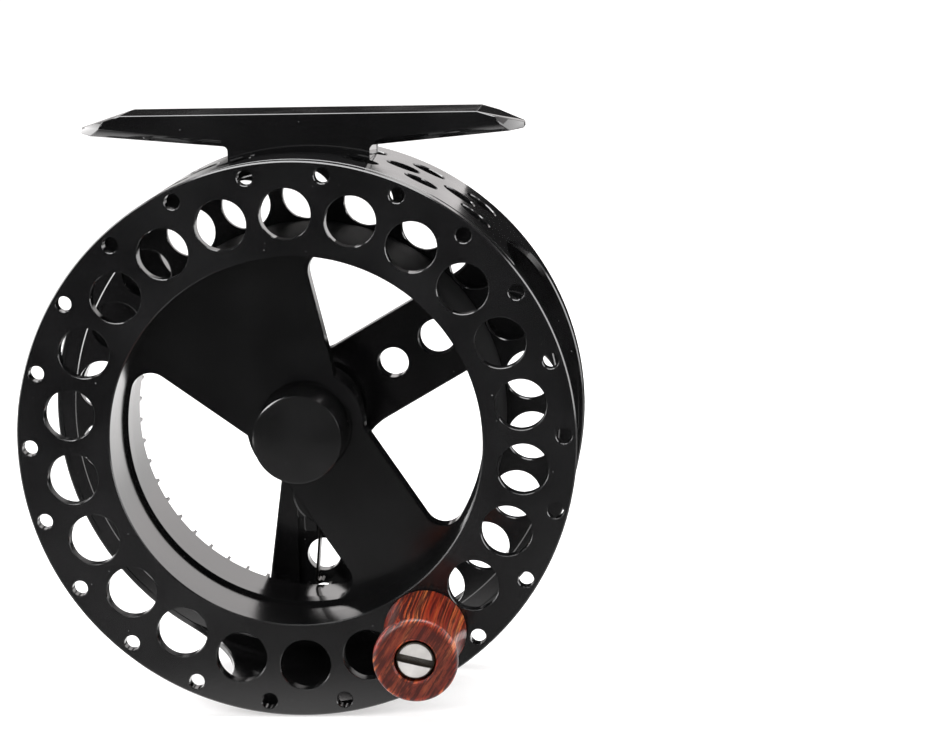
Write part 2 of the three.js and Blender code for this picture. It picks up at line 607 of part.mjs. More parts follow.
// ---- click --------------------------------------------------------------------------
function addClick() {
  const foot = POCKET_Y - AIR;
  const seatY = PLATE_FRONT_Y - AIR;
  const disc = rod(CLAMP_DISC_R, BLOCK_FRONT_Y, seatY, ...CLAMP_DISC_AT);
  const stem = block(-STEM_HALF, STEM_HALF, BLOCK_FRONT_Y, foot, PIVOT_Z - STEM_LENGTH, PIVOT_Z);
  const key = block(-KEY_HALF, KEY_HALF, BLOCK_FRONT_Y, foot, ...KEY_Z);
  const slitHalf = SPRING_T / 2 + 0.35;
  const slitTop = PIVOT_Z - SPRING_TOP + 0.6;
  add('click_block', cut(joined([disc, stem, key]), [
    rod(HUB_R + 0.6, BLOCK_FRONT_Y - 1, foot + 1),
    block(-slitHalf, slitHalf, BLOCK_FRONT_Y - 1, foot + 1, PIVOT_Z - STEM_LENGTH - 1, slitTop),
    rod(CLICK_SCREW_R + 0.1, BLOCK_FRONT_Y - 1, foot + 1, 0, PIVOT_Z, PORT_FACETS),
  ]), black());
  const screw = add('click_screw', slottedScrew(SCREW_HEAD_R, 1.1, CLICK_SCREW_R, 5.2, 0.8, 75), steel());
  screw.position.set(0, BLOCK_FRONT_Y - 1.15, PIVOT_Z);

  // The leaf runs down from the block and ends in a small bead between two teeth.
  const pitch = 360 / TEETH;
  const notch = TOOTH_PHASE + pitch / 2;
  const tip = polar(SPRING_END_R, notch + pitch * Math.round((270 - notch) / pitch));
  const top = PIVOT_Z - SPRING_TOP;
  const half = SPRING_T / 2;
  const bead = new THREE.Vector2(tip.x, tip.y + SPRING_BEAD_R);
  add('click_spring', plate([
    new THREE.Vector2(half, top), new THREE.Vector2(-half, top), new THREE.Vector2(-half, top - 4),
    ...arc(bead, SPRING_BEAD_R, 180, 360, 8), new THREE.Vector2(half, top - 4),
  ], ...SPRING_Y), steel());
}

// ---- assembly -----------------------------------------------------------------------
add('frame', makeFrame(), black());
add('reel_foot', makeFoot(), black());
addFootScrews();
add('spool', makeSpool(), black());
addSpindle();
addBearings();
addCap();
addHandle();
addClick();

group.position.z = -FOOT_TOP;
const reel = new THREE.Group();
reel.add(group);

export default reel;
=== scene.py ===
import json
import math

import bmesh
import bpy
from mathutils import Matrix, Vector


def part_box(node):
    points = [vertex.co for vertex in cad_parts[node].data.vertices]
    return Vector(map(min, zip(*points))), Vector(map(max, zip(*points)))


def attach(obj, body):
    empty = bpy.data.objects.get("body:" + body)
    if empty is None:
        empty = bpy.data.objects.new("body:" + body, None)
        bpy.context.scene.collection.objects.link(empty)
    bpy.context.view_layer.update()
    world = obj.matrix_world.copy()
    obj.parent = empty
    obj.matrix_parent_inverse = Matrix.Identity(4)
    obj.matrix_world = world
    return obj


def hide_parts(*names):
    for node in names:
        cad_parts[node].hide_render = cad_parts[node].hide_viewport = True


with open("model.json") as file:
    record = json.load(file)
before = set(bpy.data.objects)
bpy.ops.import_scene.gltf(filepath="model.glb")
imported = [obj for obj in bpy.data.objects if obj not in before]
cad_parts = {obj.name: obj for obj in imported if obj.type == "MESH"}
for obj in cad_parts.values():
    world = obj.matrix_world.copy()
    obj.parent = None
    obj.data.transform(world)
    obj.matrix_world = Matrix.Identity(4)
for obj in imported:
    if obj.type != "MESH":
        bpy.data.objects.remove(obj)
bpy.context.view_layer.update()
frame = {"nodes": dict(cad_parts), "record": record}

MM = 0.001


def spindle_axis():
    low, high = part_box("spool")
    return Vector(((low.x + high.x) / 2, 0, (low.z + high.z) / 2)) / MM


AXIS = spindle_axis()


def box_mm(node):
    low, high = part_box(node)
    return low / MM - AXIS, high / MM - AXIS


# ---- places and sizes read from the frame ---------------------------------------------
spool_low, spool_high = box_mm("spool")
cage_low, cage_high = box_mm("frame")
foot_high = box_mm("reel_foot")[1]
cap_low, cap_high = box_mm("hub_cap")
knob_low, knob_high = box_mm("handle_knob")
spindle_low, spindle_high = box_mm("spindle")

RIM_R = spool_high.z
RIM_FRONT = spool_low.y
SPOOL_BACK = spool_high.y
CAGE_R = cage_high.z
CAGE_FRONT = cage_low.y
CAGE_BACK = cage_high.y
FOOT_TOP = foot_high.z
FOOT_HALF = foot_high.x
FOOT_SIDE = foot_high.y
CAP_R = cap_high.z
KNOB_X = (knob_low.x + knob_high.x) / 2
KNOB_Z = (knob_low.z + knob_high.z) / 2
KNOB_R = (knob_high.x - knob_low.x) / 2
HANDLE_ANGLE = math.degrees(math.atan2(KNOB_Z, KNOB_X))

# ---- details of the shapes ------------------------------------------------------------
RIM_T = 2.3
RIM_EDGE = 0.2
HOLE_EDGE = 0.12  # chamfer round the ports
BORE_EDGE = 0.18  # and round the rim's large bore
ARBOR_R = 29.6
WALL_R = 27.45
REAR_FLANGE_R = 37.8
REAR_FLANGE_T = 1.4
WEB_Y = (-7.4, -3.9)
WEB_LEDGE_R = 26.9
HUB_R = 7.4
PORTS = 22
PORT_RING_R = 33.6
PORT_R = 3.75
SMALL_PORT_RING_R = 39.4
SMALL_PORT_R = 1.15
BAR_HALF = 7.3
FAN_OFFSET = 6.2
FAN_SPREAD = 20.7
WEB_FILLET = 3
WEB_HUB_R = 8.9
TEETH = 52
TOOTH_CUT_R = 1.45
TOOTH_Y = 6.0
TOOTH_PHASE = 92.9
GROOVES = 30
GROOVE_DEPTH = 0.12

CAGE_T = 1.0
PLATE_FRONT = 10.4
WINDOW_TOP = 48.5
WINDOW_BOTTOM = 18
WINDOW_MID = -6.0
WINDOW_END = 10
PERFORATION_R = 2.65
PERFORATION_STEP = 13.2
ROW_Y = (-8.2, -1.0, 6.2)
RING_INNER_R = 37.4
ARM_HALF = 6.9
LEG_OFFSET = 4.6
LEG_FLARE = 8
SPIDER_FILLET = 6
VALLEY_FILLET = 5
LOWER_FILLET = 9
ARM_HOLES = [
    (30, 13.6, 2.35), (30, 21.5, 2.8), (150, 13.6, 2.35), (150, 21.5, 2.8),
    (-90, 23.85, 2.6), (-90, 31.0, 2.5),
]
POCKET_HALF = 3.9
POCKET_DEPTH = 1.2
POCKET_Z = (-30, -8.4)

FOOT_FLAT = 26.6
FOOT_TIP_TOP = 44.95
FOOT_TIP_BOTTOM = 44.1
FOOT_TIP_HALF = 1.5
FACET_LENGTH = (4.6, 3.4)
FOOT_ROOT_BOTTOM = 42.1
FOOT_BEVEL = (0.85, 1.3)
POST_HALF = 10.5

PIVOT_Z = -13.6  # the clamp screw, below the spindle's axis
CLAMP_DISC_R = 5.2
CLAMP_DISC_AT = (0.9, PIVOT_Z + 0.4)
STEM_HALF = 2.6
STEM_LENGTH = 6
KEY_HALF = 3.8
CLAMP_HOLE_R = 1.35
SLIT_TOP = 3.6
SLIT_HALF = 0.65
LEAF_T = 0.36

RIM_STEPS = 264
PORT_STEPS = 48
SMALL_STEPS = 24
SHARP_ANGLE = math.radians(28)
CORNER_SHADE = (0.030, 0.024, 0.018, 1)  # painted shade: the colour the steel's slots and corners are darkened to
GRAIN_TURN = -32  # the wood's layers, turned from upright in the front view

# brightness of what the black surfaces mirror
WORLD_LIGHT = 1.15
FLOOR_NEAR = 1.35
FLOOR_FAR = 0.85
FLOOR_LEFT = 4.0


# ---- outlines -------------------------------------------------------------------------
def polar(r, angle):
    return Vector((r * math.cos(math.radians(angle)), r * math.sin(math.radians(angle))))


def heading(v):
    return math.degrees(math.atan2(v.y, v.x))


def arc(centre, r, start, end, steps):
    return [centre + polar(r, start + (end - start) * i / steps) for i in range(steps + 1)]


def circle(r, steps, x=0.0, z=0.0):
    return arc(Vector((x, z)), r, 0, 360, steps)[:-1]


def short_way(start, end):
    turn = (end - start + 180) % 360 - 180
    return start + turn


class Edge:
    """One side of an arm: its direction, and how far it passes from the axis.

    side is +1 when the opening lies counter-clockwise of the arm and -1 when clockwise.
    """

    def __init__(self, direction, offset, side):
        self.along = polar(1, direction)
        self.out = polar(1, direction + 90 * side)
        self.offset = offset


def outer_corner(edge, wall_r, fillet):
    away = edge.offset + fillet
    reach = math.sqrt((wall_r - fillet) ** 2 - away**2)
    centre = edge.out * away + edge.along * reach
    start = heading(-edge.out)
    return arc(centre, fillet, start, short_way(start, heading(centre)), 14)


def inner_corner(a, b, fillet):
    det = a.out.x * b.out.y - a.out.y * b.out.x
    p, q = a.offset + fillet, b.offset + fillet
    centre = Vector(((p * b.out.y - q * a.out.y) / det, (q * a.out.x - p * b.out.x) / det))
    start = heading(-b.out)
    return arc(centre, fillet, start, short_way(start, heading(-a.out)), 14)


def hub_arc(a, b, r):
    def on_circle(edge):
        return edge.out * edge.offset + edge.along * math.sqrt(r * r - edge.offset**2)

    start = heading(on_circle(b))
    return arc(Vector((0, 0)), r, start, short_way(start, heading(on_circle(a))), 20)


def opening(a, b, wall_r, fillet, inner):
    """A window between two arms, counter-clockwise from edge a to edge b."""
    first = outer_corner(a, wall_r, fillet)
    last = outer_corner(b, wall_r, fillet)[::-1]
    start = heading(first[-1])
    span = (heading(last[0]) - start) % 360
    wall = arc(Vector((0, 0)), wall_r, start, start + span, 48)[1:-1]
    return first + wall + last + inner


# ---- meshes ---------------------------------------------------------------------------
def offset_loop(loop, amount):
    """The closed loop moved to the right of its walking direction by amount."""
    moved = []
    for i, point in enumerate(loop):
        before = (point - loop[i - 1]).normalized()
        after = (loop[(i + 1) % len(loop)] - point).normalized()
        normal = Vector((before.y + after.y, -before.x - after.x)).normalized()
        stretch = max(0.3, normal.dot(Vector((before.y, -before.x))))
        moved.append(point + normal * amount / stretch)
    return moved


def plate_mesh(outer, holes, y0, y1, outer_edge, hole_edge):
    """A flat plate with holes, its edges chamfered, between two depths."""
    bm = bmesh.new()
    loops = [(outer, -outer_edge)] + [(hole, hole_edge) for hole in holes]
    caps = [[], []]
    for loop, shift in loops:
        chamfer = abs(shift)
        narrow = offset_loop(loop, shift)
        levels = [(narrow, y0), (loop, y0 + chamfer), (loop, y1 - chamfer), (narrow, y1)]
        if chamfer == 0:
            levels = [(loop, y0), (loop, y1)]
        rings = [[bm.verts.new((p.x, y, p.y)) for p in points] for points, y in levels]
        for low, high in zip(rings, rings[1:]):
            for i in range(len(low)):
                j = (i + 1) % len(low)
                bm.faces.new((low[i], low[j], high[j], high[i]))
        for cap, ring in zip(caps, (rings[0], rings[-1])):
            for i in range(len(ring)):
                cap.append(bm.edges.get((ring[i], ring[(i + 1) % len(ring)])))
    for edges in caps:
        bmesh.ops.triangle_fill(bm, edges=edges, use_beauty=True, normal=(0, 1, 0))
    bmesh.ops.recalc_face_normals(bm, faces=bm.faces)
    return bm


def lathe_mesh(profile, steps=RIM_STEPS, closed=True):
    """A profile of (radius, y) corners turned about Y; a closed one doesn't meet the axis."""
    bm = bmesh.new()
    rings = []
    for r, y in profile:
        if r == 0:
            rings.append([bm.verts.new((0, y, 0))] * steps)
            continue
        points = circle(r, steps)
        rings.append([bm.verts.new((p.x, y, p.y)) for p in points])
    pairs = list(zip(rings, rings[1:] + rings[:1])) if closed else list(zip(rings, rings[1:]))
    for low, high in pairs:
        for i in range(steps):
            j = (i + 1) % steps
            corners = [low[i], low[j], high[j], high[i]]
            bm.faces.new(list(dict.fromkeys(corners)))
    bmesh.ops.recalc_face_normals(bm, faces=bm.faces)
    return bm


def disc_mesh(r, y0, y1, steps):
    return lathe_mesh([(0, y0), (r, y0), (r, y1), (0, y1)], steps, closed=False)


def box_mesh(low, high):
    bm = bmesh.new()
    bmesh.ops.create_cube(bm, size=1)
    for v in bm.verts:
        for axis in range(3):
            v.co[axis] = (low[axis] + high[axis]) / 2 + v.co[axis] * (high[axis] - low[axis])
    return bm


def moved(bm, matrix):
    bmesh.ops.transform(bm, matrix=matrix, verts=bm.verts)
    return bm


def merged(meshes):
    whole = bmesh.new()
    for bm in meshes:
        part = bpy.data.meshes.new("part")
        bm.to_mesh(part)
        bm.free()
        whole.from_mesh(part)
        bpy.data.meshes.remove(part)
    return whole


def combine(target, tool, operation):
    """target and tool are meshes in millimetres; the result takes target's place."""
    objects = []
    for bm in (target, tool):
        mesh = bpy.data.meshes.new("boolean")
        bm.to_mesh(mesh)
        bm.free()
        thing = bpy.data.objects.new("boolean", mesh)
        bpy.context.scene.collection.objects.link(thing)
        objects.append(thing)
    modifier = objects[0].modifiers.new("boolean", "BOOLEAN")
    modifier.operation = operation
    modifier.solver = "MANIFOLD"
    modifier.object = objects[1]
    graph = bpy.context.evaluated_depsgraph_get()
    result = bpy.data.meshes.new_from_object(objects[0].evaluated_get(graph))
    bm = bmesh.new()
    bm.from_mesh(result)
    for thing in objects:
        bpy.data.objects.remove(thing)
    bpy.data.meshes.remove(result)
    return bm


def union(first, *others):
    for other in others:
        first = combine(first, other, "UNION")
    return first


def subtract(first, *tools):
    for tool in tools:
        first = combine(first, tool, "DIFFERENCE")
    return first


def piece(name, bm, body, node, material, centre=(0, 0, 0)):
    """A finished object: scaled to metres, shaded, riding on its body in place of its node."""
    origin = Vector(centre)
    for v in bm.verts:
        v.co = (v.co - origin) * MM
    bmesh.ops.remove_doubles(bm, verts=bm.verts, dist=2e-7)
    bmesh.ops.dissolve_degenerate(bm, edges=bm.edges, dist=2e-7)
    mesh = bpy.data.meshes.new(name)
    bm.to_mesh(mesh)
    bm.free()
    for polygon in mesh.polygons:
        polygon.use_smooth = True
    mesh.set_sharp_from_angle(angle=SHARP_ANGLE)
    mesh.materials.append(materials[material])
    thing = bpy.data.objects.new(name, mesh)
    thing.location = (origin + AXIS) * MM
    bpy.context.scene.collection.objects.link(thing)
    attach(thing, body)
    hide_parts(node)
    return thing


# ---- materials ------------------------------------------------------------------------
class Shader:
    """A node material under construction."""

    def __init__(self, name):
        self.material = bpy.data.materials.new(name)
        self.material.use_nodes = True
        self.nodes = self.material.node_tree.nodes
        self.links = self.material.node_tree.links
        self.surface = self.nodes["Principled BSDF"]
        self.place = self.add("ShaderNodeTexCoord").outputs["Object"]

    def add(self, kind, **values):
        node = self.nodes.new(kind)
        for key, value in values.items():
            if key in node.bl_rna.properties:
                setattr(node, key, value)
            else:
                self.put(node.inputs[key], value)
        return node

    def put(self, socket, value):
        if isinstance(value, bpy.types.NodeSocket):
            self.links.new(value, socket)
        else:
            socket.default_value = value

    def set(self, **values):
        for key, value in values.items():
            self.put(self.surface.inputs[key.replace("_", " ")], value)

    def math(self, operation, a, b=0.0):
        node = self.add("ShaderNodeMath", operation=operation)
        self.put(node.inputs[0], a)
        self.put(node.inputs[1], b)
        return node.outputs[0]

    def stretched(self, x=1.0, y=1.0, z=1.0, turn=0.0):
        """The piece's coordinates turned about Y by an angle and then scaled."""
        turned = self.add("ShaderNodeMapping")
        self.put(turned.inputs["Vector"], self.place)
        turned.inputs["Rotation"].default_value = (0, math.radians(turn), 0)
        node = self.add("ShaderNodeMapping")
        self.put(node.inputs["Vector"], turned.outputs[0])
        node.inputs["Scale"].default_value = (x, y, z)
        return node.outputs[0]

    def noise(self, scale, detail=2.0, vector=None, rough=0.5):
        node = self.add("ShaderNodeTexNoise", Scale=scale, Detail=detail, Roughness=rough)
        self.put(node.inputs["Vector"], vector or self.place)
        return node.outputs["Fac"]

    def between(self, factor, low, high, start=0.0, end=1.0):
        node = self.add("ShaderNodeMapRange")
        for socket, value in zip(node.inputs, (factor, start, end, low, high)):
            self.put(socket, value)
        return node.outputs[0]

    def ramp(self, factor, stops):
        node = self.add("ShaderNodeValToRGB")
        self.put(node.inputs[0], factor)
        elements = node.color_ramp.elements
        while len(elements) < len(stops):
            elements.new(0.5)
        for element, (position, color) in zip(elements, stops):
            element.position = position
            element.color = (*color, 1)
        return node.outputs[0]

    def mix(self, factor, a, b):
        node = self.add("ShaderNodeMix", data_type="RGBA")
        self.put(node.inputs[0], factor)
        self.put(node.inputs[6], a)
        self.put(node.inputs[7], b)
        return node.outputs[2]

    def bump(self, height, depth_mm, strength=1.0, after=None):
        node = self.add("ShaderNodeBump", Strength=strength, Distance=depth_mm * MM)
        self.put(node.inputs["Height"], height)
        if after:
            self.put(node.inputs["Normal"], after)
        return node.outputs[0]

    def radius(self):
        """Distance from the piece's own Y axis, in millimetres."""
        split = self.add("ShaderNodeSeparateXYZ")
        self.put(split.inputs[0], self.place)
        x2 = self.math("POWER", self.math("ABSOLUTE", split.outputs[0]), 2.0)
        z2 = self.math("POWER", self.math("ABSOLUTE", split.outputs[2]), 2.0)
        return self.math("MULTIPLY", self.math("SQRT", self.math("ADD", x2, z2)), 1 / MM)


def anodised(name, color, shine, marks, dull=None):
    """Dyed anodised aluminium: faint cutter marks, a slightly uneven sheen and a few specks.

    dull is a range of radii, in millimetres, that the line has rubbed matt.
    """
    s = Shader(name)
    cloud = s.noise(90, 4)
    rings = s.math("SINE", s.math("MULTIPLY", s.radius(), 2 * math.pi / 0.16))
    dust = s.between(s.noise(1500, 1), 0, 1, 0.80, 0.86)
    faded = [c * 1.7 + 0.002 for c in color]
    tone = s.mix(s.between(cloud, 0, 1, 0.35, 0.75), (*color, 1), (*faded, 1))
    sheen = s.between(cloud, shine - 0.02, shine + 0.03, 0.3, 0.7)
    sheen = s.math("ADD", sheen, s.math("MULTIPLY", dust, 0.3))
    if dull:
        facing = s.add("ShaderNodeSeparateXYZ")
        s.put(facing.inputs[0], s.add("ShaderNodeTexCoord").outputs["Normal"])
        sideways = s.math("LESS_THAN", s.math("ABSOLUTE", facing.outputs[1]), 0.9)
        rubbed = s.math("MULTIPLY", s.math("GREATER_THAN", s.radius(), dull[0]),
                        s.math("LESS_THAN", s.radius(), dull[1]))
        rubbed = s.math("MULTIPLY", rubbed, sideways)
        sheen = s.math("ADD", sheen, s.math("MULTIPLY", rubbed, 0.3))
        s.set(Specular_IOR_Level=s.between(rubbed, 0.5, 0.03))
    s.set(
        Base_Color=s.mix(dust, tone, (0.16, 0.16, 0.16, 1)),
        Roughness=sheen,
        IOR=1.65,
        Normal=s.bump(rings, 0.0006, marks),
    )
    return s.material


def steel(name, color, shine, metallic=1.0, pitch=0.13):
    """Turned steel with concentric tool marks and painted shade in the corners."""
    s = Shader(name)
    # painted shade: where ambient occlusion finds slots, corners and bores, the steel's colour is darkened
    corners = s.add("ShaderNodeAmbientOcclusion", samples=8)
    corners.inputs["Distance"].default_value = 2.0 * MM
    rings = s.math("SINE", s.math("MULTIPLY", s.radius(), 2 * math.pi / pitch))
    smudge = s.noise(400, 4)
    dark = [c * 0.72 for c in color]
    clean = s.mix(s.between(smudge, 0, 1, 0.3, 0.7), (*dark, 1), (*color, 1))
    s.set(
        Base_Color=s.mix(s.between(corners.outputs["AO"], 0.0, 1.0, 0.62, 0.86), CORNER_SHADE, clean),
        Metallic=metallic,
        Roughness=s.between(smudge, shine - 0.06, shine + 0.1, 0.3, 0.7),
        Normal=s.bump(rings, 0.003, 0.5),
    )
    return s.material


def bronze(name):
    s = Shader(name)
    patina = s.noise(500, 5)
    s.set(
        Base_Color=s.mix(s.between(patina, 0, 1, 0.35, 0.7),
                         (0.14, 0.09, 0.045, 1), (0.05, 0.03, 0.015, 1)),
        Metallic=1.0,
        Roughness=s.between(patina, 0.3, 0.5),
        Normal=s.bump(s.noise(4000, 3), 0.01, 0.4),
    )
    return s.material


def nylon(name):
    s = Shader(name)
    s.set(
        Base_Color=s.mix(s.noise(800, 3), (0.72, 0.69, 0.6, 1), (0.84, 0.82, 0.75, 1)),
        Roughness=s.between(s.noise(900, 2), 0.45, 0.65),
        Normal=s.bump(s.noise(3000, 2), 0.01, 0.3),
    )
    return s.material


def rosewood(name):
    """Oiled rosewood: layers of red and orange wood with dark lines, along the knob.

    The cut ends are browner and plainer than the side.
    """
    s = Shader(name)
    layers = s.noise(900, 3, s.stretched(1, 0.004, 0.13, GRAIN_TURN), 0.62)
    lines = s.noise(3000, 3, s.stretched(1, 0.004, 0.10, GRAIN_TURN), 0.65)
    pores = s.noise(4200, 1, s.stretched(1, 0.04, 0.5, GRAIN_TURN))
    wood = s.ramp(layers, [
        (0.30, (0.070, 0.005, 0.003)), (0.44, (0.17, 0.014, 0.006)),
        (0.54, (0.29, 0.042, 0.012)), (0.66, (0.42, 0.115, 0.032)),
    ])
    veined = s.mix(s.between(lines, 0.95, 0.0, 0.45, 0.54), wood, (0.026, 0.003, 0.003, 1))
    side = s.mix(s.between(pores, 0.9, 0.0, 0.30, 0.38), veined, (0.012, 0.003, 0.003, 1))
    split = s.add("ShaderNodeSeparateXYZ")
    s.put(split.inputs[0], s.add("ShaderNodeTexCoord").outputs["Normal"])
    end = s.mix(s.between(lines, 1.0, 0.0, 0.40, 0.6), (0.066, 0.013, 0.008, 1), (0.046, 0.008, 0.005, 1))
    end_grain = s.between(s.math("ABSOLUTE", split.outputs[1]), 0.0, 0.72, 0.75, 0.98)
    s.set(
        Base_Color=s.mix(end_grain, side, end),
        Roughness=s.between(lines, 0.42, 0.28, 0.3, 0.7),
        Specular_IOR_Level=0.3,
        Coat_Weight=0.1,
        Coat_Roughness=0.2,
        Normal=s.bump(lines, 0.035, 0.3),
    )
    return s.material


materials = {
    "anodised_frame": anodised("anodised_frame", (0.004, 0.004, 0.0042), 0.12, 0.1),
    "anodised_spool": anodised("anodised_spool", (0.0036, 0.0036, 0.0038), 0.15, 0.25,
                               (28.6, 30.2)),
    "anodised_foot": anodised("anodised_foot", (0.003, 0.003, 0.0032), 0.05, 0.0),
    "anodised_cap": anodised("anodised_cap", (0.0042, 0.0042, 0.0043), 0.17, 0.25),
    "screw_steel": steel("screw_steel", (0.56, 0.54, 0.52), 0.34, 0.3),
    "spindle_steel": steel("spindle_steel", (0.58, 0.57, 0.56), 0.22),
    "bearing_steel": steel("bearing_steel", (0.66, 0.66, 0.66), 0.14),
    "spring_steel": steel("spring_steel", (0.05, 0.048, 0.045), 0.3),
    "bronze": bronze("bronze"),
    "nylon": nylon("nylon"),
    "rosewood": rosewood("rosewood"),
}
node_slots = {part["node"]: part["material_slot"] for part in frame["record"]["subparts"]}
for node, thing in frame["nodes"].items():
    thing.data.materials.clear()
    thing.data.materials.append(materials[node_slots[node]])


# ---- spool ----------------------------------------------------------------------------
def ring_of_holes(count, ring_r, r, first, steps, skip=None):
    holes = []
    for i in range(count):
        if i != skip:
            at = polar(ring_r, first + i * 360 / count)
            holes.append(circle(r, steps, at.x, at.y))
    return holes


def toothed_outline(r):
    """The inside of the arbor at the click: a circle with a round notch between teeth."""
    pitch = 360 / TEETH
    outline = []
    for i in range(TEETH):
        notch = TOOTH_PHASE + pitch * (i + 0.5)
        centre = polar(WALL_R, notch)
        half = math.degrees(2 * math.asin(TOOTH_CUT_R / 2 / WALL_R))
        outline += arc(Vector((0, 0)), r, notch - pitch / 2, notch - half, 2)[:-1]
        outline += arc(centre, TOOTH_CUT_R, notch - 90 - half / 2, notch + 90 + half / 2, 12)
        outline += arc(Vector((0, 0)), r, notch + half, notch + pitch / 2, 2)[1:-1]
    return outline


def web_mesh():
    bar = HANDLE_ANGLE
    fan = HANDLE_ANGLE + 180
    windows = []
    for a, b in (
        (Edge(bar, BAR_HALF, 1), Edge(fan - FAN_SPREAD, FAN_OFFSET, -1)),
        (Edge(fan + FAN_SPREAD, FAN_OFFSET, 1), Edge(bar, BAR_HALF, -1)),
    ):
        windows.append(opening(a, b, WEB_LEDGE_R, WEB_FILLET, hub_arc(a, b, WEB_HUB_R)))
    windows.append(circle(CAP_R + 0.4, PORT_STEPS))
    return plate_mesh(circle(WALL_R + 1, RIM_STEPS), windows, *WEB_Y, 0, 0.15)


def arbor_mesh():
    """The arbor's tube, with fine grooves on the side that holds the line."""
    front = RIM_FRONT + RIM_T / 2
    back = SPOOL_BACK - REAR_FLANGE_T / 2
    start, end = RIM_FRONT + RIM_T + 0.6, SPOOL_BACK - REAR_FLANGE_T - 0.6
    pitch = (end - start) / GROOVES
    profile = [(WALL_R, front), (ARBOR_R, front)]
    for i in range(GROOVES):
        y = start + pitch * i
        profile += [(ARBOR_R, y + pitch * 0.15), (ARBOR_R, y + pitch * 0.55),
                    (ARBOR_R - GROOVE_DEPTH, y + pitch * 0.7), (ARBOR_R - GROOVE_DEPTH, y + pitch)]
    profile += [(ARBOR_R, back), (WALL_R, back)]
    return lathe_mesh(profile)


def make_spool():
    step = 360 / PORTS
    rim_back = RIM_FRONT + RIM_T
    ports = ring_of_holes(PORTS, PORT_RING_R, PORT_R, HANDLE_ANGLE, PORT_STEPS, skip=0)
    small = ring_of_holes(PORTS, SMALL_PORT_RING_R, SMALL_PORT_R, HANDLE_ANGLE + step / 2, SMALL_STEPS)
    bore = circle(WALL_R, RIM_STEPS)
    at = polar(PORT_RING_R, HANDLE_ANGLE)
    stud = circle(1.6, SMALL_STEPS, at.x, at.y)
    front = plate_mesh(circle(RIM_R, RIM_STEPS), [bore, stud] + ports + small,
                       RIM_FRONT, rim_back, RIM_EDGE, HOLE_EDGE)
    all_ports = ring_of_holes(PORTS, PORT_RING_R, PORT_R, HANDLE_ANGLE, PORT_STEPS)
    rear = plate_mesh(circle(REAR_FLANGE_R, RIM_STEPS), [circle(WALL_R, RIM_STEPS)] + all_ports,
                      SPOOL_BACK - REAR_FLANGE_T, SPOOL_BACK, 0.2, 0.15)
    hub_back = 7.5
    seat = 5.55
    lip = 4.6
    hub = lathe_mesh([
        (seat, WEB_Y[0] + 0.5), (CAP_R + 0.8, WEB_Y[0] + 0.5), (HUB_R + 0.6, WEB_Y[1]),
        (HUB_R, WEB_Y[1] + 0.6),
        (HUB_R, hub_back - 0.3), (HUB_R - 0.3, hub_back), (seat + 0.25, hub_back), (seat, hub_back - 0.25),
        (seat, 3.5), (lip, 3.5), (lip, -2.6), (seat, -2.6),
    ], 96)
    shell = union(front, arbor_mesh(), rear, web_mesh(), hub)
    teeth = plate_mesh(toothed_outline(WALL_R - 0.4), [], TOOTH_Y, SPOOL_BACK + 1, 0, 0)
    core = disc_mesh(WALL_R - 1, TOOTH_Y - 1, SPOOL_BACK + 2, RIM_STEPS)
    chamfer = lathe_mesh([(0, RIM_FRONT - 1), (WALL_R + BORE_EDGE + 1, RIM_FRONT - 1),
                          (WALL_R, RIM_FRONT + BORE_EDGE), (0, RIM_FRONT + BORE_EDGE)], closed=False)
    shell = subtract(shell, subtract(teeth, core), chamfer)
    piece("spool_shell", shell, "spool", "spool", "anodised_spool")


# ---- frame ----------------------------------------------------------------------------
def rounded_rectangle(u0, u1, v0, v1, r):
    outline = []
    corners = [(u1 - r, v0 + r), (u1 - r, v1 - r), (u0 + r, v1 - r), (u0 + r, v0 + r)]
    for quarter, corner in enumerate(corners, -1):
        outline += arc(Vector(corner), r, 90 * quarter, 90 * quarter + 90, 14)
    return outline


def wrap(bm, length):
    """Rolls the first half of a flat strip and its mirror image into a band.

    x = 0 comes to the bottom of the band.
    """
    steps = 90
    for i in range(steps + 1):
        geometry = bm.verts[:] + bm.edges[:] + bm.faces[:]
        bmesh.ops.bisect_plane(bm, geom=geometry, plane_co=(length / 2 * i / steps, 0, 0),
                               plane_no=(1, 0, 0), clear_inner=i == 0, clear_outer=i == steps)
    other = bm.copy()
    for v in other.verts:
        v.co.x = length - v.co.x
    band = merged([bm, other])
    for v in band.verts:
        at = polar(CAGE_R - v.co.y, v.co.x / length * 360 - 90)
        v.co = (at.x, v.co.z, at.y)
    bmesh.ops.remove_doubles(band, verts=band.verts, dist=1e-4)
    bmesh.ops.recalc_face_normals(band, faces=band.faces)
    return band


def cage_outline():
    """Half of the unrolled band, from the bottom up its right side to the top: x along, y deep.

    The side window is open at the front, and each end of it is half an ellipse.
    """
    per_degree = 2 * math.pi * CAGE_R / 360
    half_depth = PLATE_FRONT - 0.1 - WINDOW_MID
    opens = math.degrees(math.asin((WINDOW_MID - CAGE_FRONT) / half_depth))
    low_end, top_end = WINDOW_BOTTOM * per_degree, (180 - WINDOW_TOP) * per_degree
    curve = []
    for i in range(41):
        turn = math.radians(-opens + (90 + opens) * i / 40)
        curve.append((WINDOW_END * (1 - math.cos(turn)), WINDOW_MID + half_depth * math.sin(turn)))
    rising = [Vector((low_end + along, y)) for along, y in curve]
    falling = [Vector((top_end - along, y)) for along, y in curve[::-1]]
    end = 180 * per_degree + 2
    return [Vector((-2, CAGE_FRONT))] + rising + falling + [
        Vector((end, CAGE_FRONT)), Vector((end, CAGE_BACK)), Vector((-2, CAGE_BACK))]


